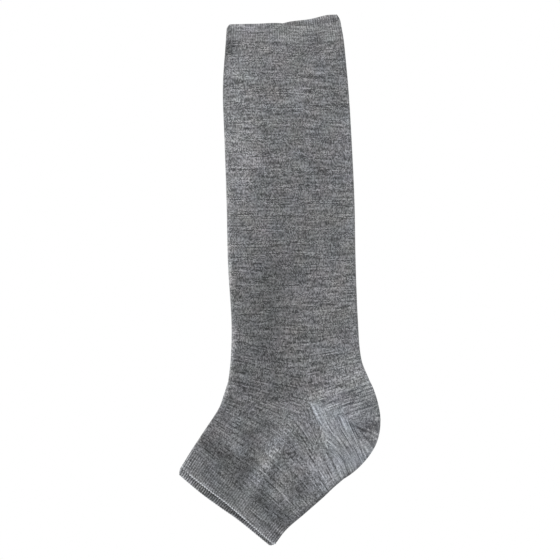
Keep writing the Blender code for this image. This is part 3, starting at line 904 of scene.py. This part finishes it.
# %% Shade and tint
RIBS_ROUND = 101
RIB_TURN = 2 * math.pi * RIBS_ROUND / WALES_ROUND
GROOVE_MEAN = 0.6
# Clouds are 28 mm wide and tints 14 mm. Columns are under a wale wide and 45 courses, 38 mm, long.
CLOUD_SIZE, CLOUD_DEPTH = 0.028, 0.35
TINT_SIZE, TINT_DEPTH = 0.014, 0.14
COLUMN_WALES, COLUMN_COURSES = 0.6, 45.0
COLUMN_LAYER, COLUMN_DEPTH = 7.0, 0.20


def even_out(depth):
    """What to add to a pattern from 0 to 1, times `depth`, so that its mean is 1."""
    return 1.0 - depth / 2


def cloth_shade(tree, yarn, thread, height):
    # The groove between stitches is darkened in the colour, as painted shade, and so is each rib's groove.
    shade = add(tree, MATH, height, yarn.groove, 1.0 - GROOVE_MEAN * yarn.groove, operation="MULTIPLY_ADD")
    if yarn.rib:
        ribs_show = add(tree, "ShaderNodeAttribute", attribute_name="ribbing").outputs["Fac"]
        depth = add(tree, MATH, ribs_show, yarn.rib, operation="MULTIPLY")
        turn = add(tree, MATH, thread["wale"], RIB_TURN, operation="MULTIPLY")
        wave = add(tree, MATH, turn, operation="COSINE")
        ribbed = add(tree, MATH, wave, depth, 1.0, operation="MULTIPLY_ADD")
        shade = add(tree, MATH, shade, ribbed, operation="MULTIPLY")
    beside = add(tree, MATH, thread["wale"], COLUMN_WALES, operation="DIVIDE")
    down_column = add(tree, MATH, thread["number"], COLUMN_COURSES, operation="DIVIDE")
    spot = add(tree, "ShaderNodeCombineXYZ", beside, down_column, COLUMN_LAYER)
    column = add(tree, "ShaderNodeTexNoise", {"Vector": spot, "Scale": 1.0, "Detail": 0.0}).outputs["Fac"]
    column = add(tree, MATH, column, COLUMN_DEPTH, even_out(COLUMN_DEPTH), operation="MULTIPLY_ADD")
    shade = add(tree, MATH, shade, column, operation="MULTIPLY")
    cloud = {"Vector": thread["place"], "Scale": 1 / CLOUD_SIZE, "Detail": 1.0}
    cloud = add(tree, "ShaderNodeTexNoise", cloud).outputs["Fac"]
    cloudy = add(tree, MATH, cloud, CLOUD_DEPTH, even_out(CLOUD_DEPTH), operation="MULTIPLY_ADD")
    # The tone carries the cloth's painted light and shade into its colour.
    tone = add(tree, "ShaderNodeAttribute", attribute_name="tone").outputs["Fac"]
    tone = add(tree, MATH, tone, cloudy, operation="MULTIPLY")
    return add(tree, MATH, tone, shade, operation="MULTIPLY")


def cloth_tint(tree, place):
    tint = {"Vector": place, "Scale": 1 / TINT_SIZE, "Detail": 1.0}
    tint = add(tree, "ShaderNodeTexNoise", tint).outputs["Color"]
    depth = (TINT_DEPTH, 0.0, TINT_DEPTH)
    evened = tuple(even_out(share) for share in depth)
    return add(tree, "ShaderNodeVectorMath", tint, depth, evened, operation="MULTIPLY_ADD")


# %% [markdown]
# Wool is rough and throws back little light straight on, but its raised fibres give it a faint sheen
# where it curves away. A yarn is all of this together: fibre colours mixed by their share, tinted, shaded
# and bumped.

# %% A melange yarn
WOOL = {"Roughness": 0.9, "Specular IOR Level": 0.2, "Sheen Weight": 0.25, "Sheen Roughness": 0.5}
MIX_COLOURS = {"data_type": "RGBA", "clamp_factor": True}
# The mixing node's sockets for colours, by number: share, first and second colour in, and mixed colour out.
SHARE, FIRST, SECOND, MIXED = 0, 6, 7, 2
# The streaks change slowly down the leg as well, over about 33 mm.
DRIFT_RATE = 30.0


def linear(code):
    """A colour written as sRGB hex, as linear red, green, blue and alpha."""
    shares = [int(code[k : k + 2], 16) / 255 for k in (1, 3, 5)]
    return [v / 12.92 if v <= 0.04045 else ((v + 0.055) / 1.055) ** 2.4 for v in shares] + [1.0]


def melange_yarn(name, yarn):
    material, tree = new_material(name)
    height, wale, number = stitches(tree)
    place = add(tree, "ShaderNodeTexCoord").outputs["Object"]
    pale = add(tree, "ShaderNodeAttribute", attribute_name="pale").outputs["Fac"]
    own = add(tree, "ShaderNodeTexWhiteNoise", {"W": number}, noise_dimensions="1D").outputs["Value"]
    along_leg = add(tree, "ShaderNodeSeparateXYZ", place).outputs["Y"]
    drift = add(tree, MATH, along_leg, DRIFT_RATE, operation="MULTIPLY")
    thread = {"wale": wale, "number": number, "own": own, "drift": drift, "pale": pale, "place": place}

    palest = {SHARE: pale, FIRST: linear(yarn.pale), SECOND: linear(PALE_THREAD.colour)}
    palest = add(tree, "ShaderNodeMix", palest, **MIX_COLOURS).outputs[MIXED]
    mixed = {SHARE: pale_fibres(tree, yarn, thread), FIRST: linear(yarn.dark), SECOND: palest}
    mixed = add(tree, "ShaderNodeMix", mixed, **MIX_COLOURS).outputs[MIXED]
    tinted = add(tree, "ShaderNodeVectorMath", mixed, cloth_tint(tree, place), operation="MULTIPLY")
    lit = {0: tinted, "Scale": cloth_shade(tree, yarn, thread, height)}
    lit = add(tree, "ShaderNodeVectorMath", lit, operation="SCALE")
    bump = add(tree, "ShaderNodeBump", {"Strength": 1.0, "Distance": yarn.bump, "Height": height})
    shader = add(tree, "ShaderNodeBsdfPrincipled", {"Base Color": lit, "Normal": bump, **WOOL})
    add(tree, "ShaderNodeOutputMaterial", {"Surface": shader})
    print(f"{name}: {len(tree.nodes)} nodes")
    return material


# %% The sock's yarns
# Plain grey melange: charcoal and off-white fibres, in soft streaks of even grey.
plain_yarn = Melange(
    dark="#3b3c3d",
    pale="#c3c4c7",
    balance=0.385,
    streak=0.16,
    speck=0.55,
    lines=0.62,
    groove=0.38,
    bump=0.00022,
    rib=0.0,
)
grey_melange = melange_yarn("grey_melange_wool", plain_yarn)
# The heel's yarn is plied with a pale, faintly blue thread, so its courses show as long light lines.
heel_yarn = plain_yarn._replace(dark="#44464a", streak=0.30, lines=0.85)
pale_reinforced = melange_yarn("pale_reinforced_wool", heel_yarn)
# The ribs are of the plain yarn, and each has a painted highlight on its crown and painted shade in its
# groove.
ribbed_yarn = plain_yarn._replace(streak=0.2, speck=0.42, lines=0.5)
ribbed_cuff_wool = melange_yarn("ribbed_cuff_wool", ribbed_yarn._replace(balance=0.46, rib=0.14))
ribbed_band_wool = melange_yarn("ribbed_band_wool", ribbed_yarn._replace(balance=0.37, rib=0.24))
leg.data.materials.append(grey_melange)
foot.data.materials.append(grey_melange)
heel.data.materials.append(pale_reinforced)

# %% [markdown]
# The toe rim is linked off with a smooth pale thread, and a softer one shows in the heel's gore. Both are so
# thin that one shade, a little uneven along the thread, is all that the eye gets of them.

# %% Two plain threads
SPUN = {"Roughness": 0.85, "Specular IOR Level": 0.2, "Sheen Weight": 0.2}
# Per metre, so the shade changes about every 1.1 mm.
THREAD_NOISE = 900.0
THREAD_DEPTH, THREAD_FLOOR = 0.8, 0.6


def spun_thread(name, code):
    """A plain pale thread, a little uneven along its length."""
    material, tree = new_material(name)
    place = add(tree, "ShaderNodeTexCoord").outputs["Object"]
    uneven = add(tree, "ShaderNodeTexNoise", {"Vector": place, "Scale": THREAD_NOISE}).outputs["Fac"]
    shade = add(tree, MATH, uneven, THREAD_DEPTH, THREAD_FLOOR, operation="MULTIPLY_ADD")
    lit = add(tree, "ShaderNodeVectorMath", {0: linear(code)[:3], "Scale": shade}, operation="SCALE")
    shader = add(tree, "ShaderNodeBsdfPrincipled", {"Base Color": lit, **SPUN})
    add(tree, "ShaderNodeOutputMaterial", {"Surface": shader})
    return material


# The chain that links off the toe rim is the palest. The gore's loops are only a little paler than the heel.
linking_thread = spun_thread("pale_linking_thread", "#cccfd3")
gore_thread = spun_thread("soft_gore_thread", "#a4a8ae")
print("materials:", ", ".join(material.name for material in bpy.data.materials))

# %% [markdown]
# ## Geometry trees
#
# What repeats on the sock is made by Geometry Nodes: its ribs and its rows of stitches. Each tree has
# named inputs for its sizes. A piece grows from a base through the tree, and is then kept as a plain
# mesh.

# %% Starting, ending and using a tree
def new_tree(name, sockets):
    """A geometry tree with a geometry in and out, and the named inputs besides."""
    tree = bpy.data.node_groups.new(name, "GeometryNodeTree")
    tree.interface.new_socket("Geometry", in_out="INPUT", socket_type="NodeSocketGeometry")
    for label, kind in sockets.items():
        tree.interface.new_socket(label, in_out="INPUT", socket_type="NodeSocket" + kind)
    tree.interface.new_socket("Geometry", in_out="OUTPUT", socket_type="NodeSocketGeometry")
    return tree, tree.nodes.new("NodeGroupInput").outputs


def end_tree(tree, geometry, material):
    """Every tree ends alike: its instances are made real and take the material."""
    real = add(tree, "GeometryNodeRealizeInstances", geometry)
    dressed = add(tree, "GeometryNodeSetMaterial", {"Geometry": real, "Material": material})
    add(tree, "NodeGroupOutput", dressed)


def grow(base, name, tree, choices):
    """A piece made by a geometry tree from `base`, which itself is taken out of the scene."""
    modifier = base.modifiers.new(tree.name, "NODES")
    modifier.node_group = tree
    for item in tree.interface.items_tree:
        if item.in_out == "INPUT" and item.name in choices:
            modifier[item.identifier] = choices[item.name]
    graph = bpy.context.evaluated_depsgraph_get()
    mesh = bpy.data.meshes.new_from_object(base.evaluated_get(graph), depsgraph=graph)
    base.modifiers.remove(modifier)
    bpy.data.objects.remove(base)
    mesh.name = name
    print(f"{name}: {len(mesh.polygons)} faces")
    return put_in_scene(name, mesh)


# %% [markdown]
# ## Ribs
#
# In the cuff and the toe band 101 fine ribs stand round 140 wales, a little under three to every four.
# Each has a groove sunk beside it. On the inner face the ribs stand where the outer face has its grooves,
# so the wall keeps its thickness. The ribs could be drawn by shade alone, but the rims show them in
# outline.

# %% Ribs on the cuff and the toe band
CUFF_RIB_DEPTH = 0.00010
BAND_RIB_DEPTH = 0.00016


def rib_tree():
    tree, inputs = new_tree("Ribs", {"Rib Depth": "Float", "Material": "Material"})
    read = "GeometryNodeInputNamedAttribute"
    wale = add(tree, read, "wale", data_type="FLOAT").outputs["Attribute"]
    inside = add(tree, read, "inside", data_type="FLOAT").outputs["Attribute"]
    turn = add(tree, MATH, wale, RIB_TURN, operation="MULTIPLY")
    wave = add(tree, MATH, turn, operation="COSINE")
    sunk = add(tree, MATH, wave, 1.0, operation="SUBTRACT")
    side = add(tree, MATH, inside, -2.0, 1.0, operation="MULTIPLY_ADD")
    sunk = add(tree, MATH, sunk, side, operation="MULTIPLY")
    lift = add(tree, MATH, sunk, inputs["Rib Depth"], operation="MULTIPLY")
    normal = add(tree, "GeometryNodeInputNormal").outputs["Normal"]
    offset = add(tree, "ShaderNodeVectorMath", {0: normal, "Scale": lift}, operation="SCALE")
    moved = add(tree, "GeometryNodeSetPosition", {"Geometry": inputs["Geometry"], "Offset": offset})
    end_tree(tree, moved, inputs["Material"])
    return tree


ribs = rib_tree()
cuff = grow(cuff, "ribbed_cuff", ribs, {"Rib Depth": CUFF_RIB_DEPTH, "Material": ribbed_cuff_wool})
band_choices = {"Rib Depth": BAND_RIB_DEPTH, "Material": ribbed_band_wool}
toe_band = grow(toe_band, "ribbed_toe_band", ribs, band_choices)
for piece in (cuff, toe_band):
    finish_cloth(piece)

# %% [markdown]
# ## Rows of stitches
#
# A chain of small loops closes the toe rim, and a row of them marks the gore in the heel. The base is the
# line of points that the row runs along, and each point knows which way is out of the cloth. Every loop
# is a pair of legs that lean towards each other.

# %% Tree for a row of stitches
ROW_INPUTS = {"Pitch": "Float", "Leg Length": "Float", "Leg Radius": "Float", "Lean": "Float"}
LEG_APART = 1.1


def stitch_leg(tree, inputs, side):
    """One leg of a loop: a ball drawn out along the row, moved aside and leaned."""
    ball = add(tree, "GeometryNodeMeshIcoSphere", {"Radius": 1.0, "Subdivisions": 2})
    smooth = add(tree, "GeometryNodeSetShadeSmooth", ball)
    radius = inputs["Leg Radius"]
    size = add(tree, "ShaderNodeCombineXYZ", inputs["Leg Length"], radius, radius)
    drawn = add(tree, "GeometryNodeTransform", {"Geometry": smooth, "Scale": size})
    aside = add(tree, MATH, radius, LEG_APART * side, operation="MULTIPLY")
    turn = add(tree, MATH, inputs["Lean"], -side, operation="MULTIPLY")
    move = add(tree, "ShaderNodeCombineXYZ", {"Y": aside})
    lean = add(tree, "ShaderNodeCombineXYZ", {"Z": turn})
    return add(tree, "GeometryNodeTransform", {"Geometry": drawn, "Translation": move, "Rotation": lean})


def stitch_row_tree():
    tree, inputs = new_tree("Stitch Row", {**ROW_INPUTS, "Material": "Material"})
    loop = tree.nodes.new("GeometryNodeJoinGeometry")
    for side in (1, -1):
        tree.links.new(stitch_leg(tree, inputs, side).outputs[0], loop.inputs["Geometry"])
    line = add(tree, "GeometryNodeMeshToCurve", {"Mesh": inputs["Geometry"]})
    spots = add(tree, "GeometryNodeCurveToPoints", {"Curve": line, "Length": inputs["Pitch"]}, mode="LENGTH")
    out = add(tree, "GeometryNodeInputNamedAttribute", "out", data_type="FLOAT_VECTOR").outputs["Attribute"]
    along = {"Vector": spots.outputs["Tangent"]}
    along = add(tree, "FunctionNodeAlignRotationToVector", along, axis="X")
    stand = {"Rotation": along, "Vector": out}
    stand = add(tree, "FunctionNodeAlignRotationToVector", stand, axis="Z", pivot_axis="X")
    row = {"Points": spots.outputs["Points"], "Instance": loop, "Rotation": stand}
    end_tree(tree, add(tree, "GeometryNodeInstanceOnPoints", row), inputs["Material"])
    return tree


def base_line(name, points, out):
    """The line of points a row of stitches runs along, each with its way out of the cloth."""
    mesh = bpy.data.meshes.new(name)
    mesh.from_pydata(points.tolist(), [(k, k + 1) for k in range(len(points) - 1)], [])
    ways = mesh.attributes.new("out", "FLOAT_VECTOR", "POINT")
    ways.data.foreach_set("vector", out.astype(np.float32).ravel())
    mesh.transform(Matrix.Translation(shift))
    return put_in_scene(name, mesh)


stitch_row = stitch_row_tree()

# %% [markdown]
# The chain sits on the rolled edge of the toe rim, a little above its outermost line, where it is seen
# from above. It runs over the upper layer, round the back fold and along the lower layer. At the front
# fold its last loops are drawn in among the ribs and don't show, so it stops a few wales short of the
# fold on either side.

# %% Linking chain round the toe rim
RIM_TURN = math.radians(48)
CHAIN_FROM = 4.8
CHAIN_TO = 132.0
rim_normal = outward(band_sheet, True)[-1]
rim_out = band_sheet[-1] - band_sheet[-2]
rim_out /= np.linalg.norm(rim_out, axis=1, keepdims=True)
rim_way = rim_normal * math.cos(RIM_TURN) + rim_out * math.sin(RIM_TURN)
rim_points = band_sheet[-1] - rim_normal * (TOE_BAND_WALL / 2) + rim_way * (TOE_BAND_WALL / 2)
rim_marks = wale_marks(RIBBED)[:-1]
in_chain = (rim_marks > CHAIN_FROM) & (rim_marks < CHAIN_TO)
rim_line = base_line("toe_rim_line", rim_points[in_chain], rim_way[in_chain])
rim_choices = {"Pitch": 0.0020, "Leg Length": 0.00092, "Leg Radius": 0.00028, "Lean": 0.32}
rim_choices["Material"] = linking_thread
linking_chain = grow(rim_line, "toe_rim_linking_chain", stitch_row, rim_choices)

# %% Stitches in the heel's gore
gore_ray = heel_sheet[GORE_RAY]
on_gore = (np.linalg.norm(gore_ray[:, :2], axis=1) < GORE_LENGTH) & (gore_ray[:, 2] > FOLD_HEIGHT / 2)
gore_out = outward(heel_sheet, False)[GORE_RAY]
gore_line = base_line("gore_line", gore_ray[on_gore], gore_out[on_gore])
gore_choices = {"Pitch": 0.0021, "Leg Length": 0.00075, "Leg Radius": 0.00016, "Lean": 0.9}
gore_choices["Material"] = gore_thread
gore_stitches = grow(gore_line, "heel_gore_stitches", stitch_row, gore_choices)

# %% [markdown]
# ## Which section each piece stands for
#
# Nothing on a sock turns or slides, so every piece rides on the one root. The chain belongs to the toe
# band and the gore's stitches to the heel.

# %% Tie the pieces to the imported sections
STANDS_FOR = (
    (cuff, "cuff", "ribbed_welt_knit"),
    (leg, "leg", "melange_knit"),
    (heel, "heel", "reinforced_heel_knit"),
    (foot, "foot", "melange_knit"),
    (toe_band, "toe_band", "ribbed_welt_knit"),
    (linking_chain, "toe_band", "ribbed_welt_knit"),
    (gore_stitches, "heel", "reinforced_heel_knit"),
)
for piece, node, slot in STANDS_FOR:
    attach(piece, "root")
    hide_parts(node)
print("pieces:", ", ".join(piece.name for piece, node, slot in STANDS_FOR))

# %% [markdown]
# ## Floor, light and camera
#
# The sock lies on a plain white table that glows a little, so that it shows no shadow. It is a hair lower
# than the sock, whose underside then never flickers through it. A broad soft light comes from the upper
# left, and the white surroundings fill in the rest. The camera is far off with a long lens, so nothing
# looks leaned over.

# %% White table
TABLE_REACH = 6.0
TABLE_DROP = 0.0004
corners = [(x * TABLE_REACH, y * TABLE_REACH, 0) for x, y in ((-1, -1), (1, -1), (1, 1), (-1, 1))]
table_mesh = bpy.data.meshes.new("white_table")
table_mesh.from_pydata(corners, [], [(0, 1, 2, 3)])
table = put_in_scene("white_table", table_mesh)
table.location.z = -TABLE_DROP
table_white, table_tree = new_material("bright_white_table")
glow = add(table_tree, "ShaderNodeEmission", {"Color": linear("#ffffff"), "Strength": 1.0})
add(table_tree, "ShaderNodeOutputMaterial", {"Surface": glow})
table.data.materials.append(table_white)

# %% Soft light from the upper left
WINDOW_SIZE = 1.2
WINDOW_POWER = 30.0
WINDOW_PLACE = (-1.3, 0.9, 1.9)
SURROUNDINGS = 0.7
scene = bpy.context.scene
world = bpy.data.worlds.new("white_surroundings")
world.use_nodes = True
world.node_tree.nodes["Background"].inputs["Color"].default_value = linear("#ffffff")
world.node_tree.nodes["Background"].inputs["Strength"].default_value = SURROUNDINGS
scene.world = world

window = put_in_scene("window_light", bpy.data.lights.new("window_light", "AREA"))
window.data.size = WINDOW_SIZE
window.data.energy = WINDOW_POWER
window.location = WINDOW_PLACE
window.rotation_euler = (-Vector(WINDOW_PLACE)).to_track_quat("-Z", "Y").to_euler()
scene.view_settings.view_transform = "Standard"
scene.view_settings.look = "None"

# %% Camera straight above
FRAME_WIDTH = 0.420
LENS = 200
SENSOR_WIDTH = 36
camera = put_in_scene("camera_above", bpy.data.cameras.new("camera_above"))
camera.data.lens = LENS
camera.data.sensor_width = SENSOR_WIDTH
camera.location = (0.0, 0.0, FRAME_WIDTH / SENSOR_WIDTH * LENS + LOFT)
scene.camera = camera
print(f"camera {camera.location.z:.2f} m above the table")
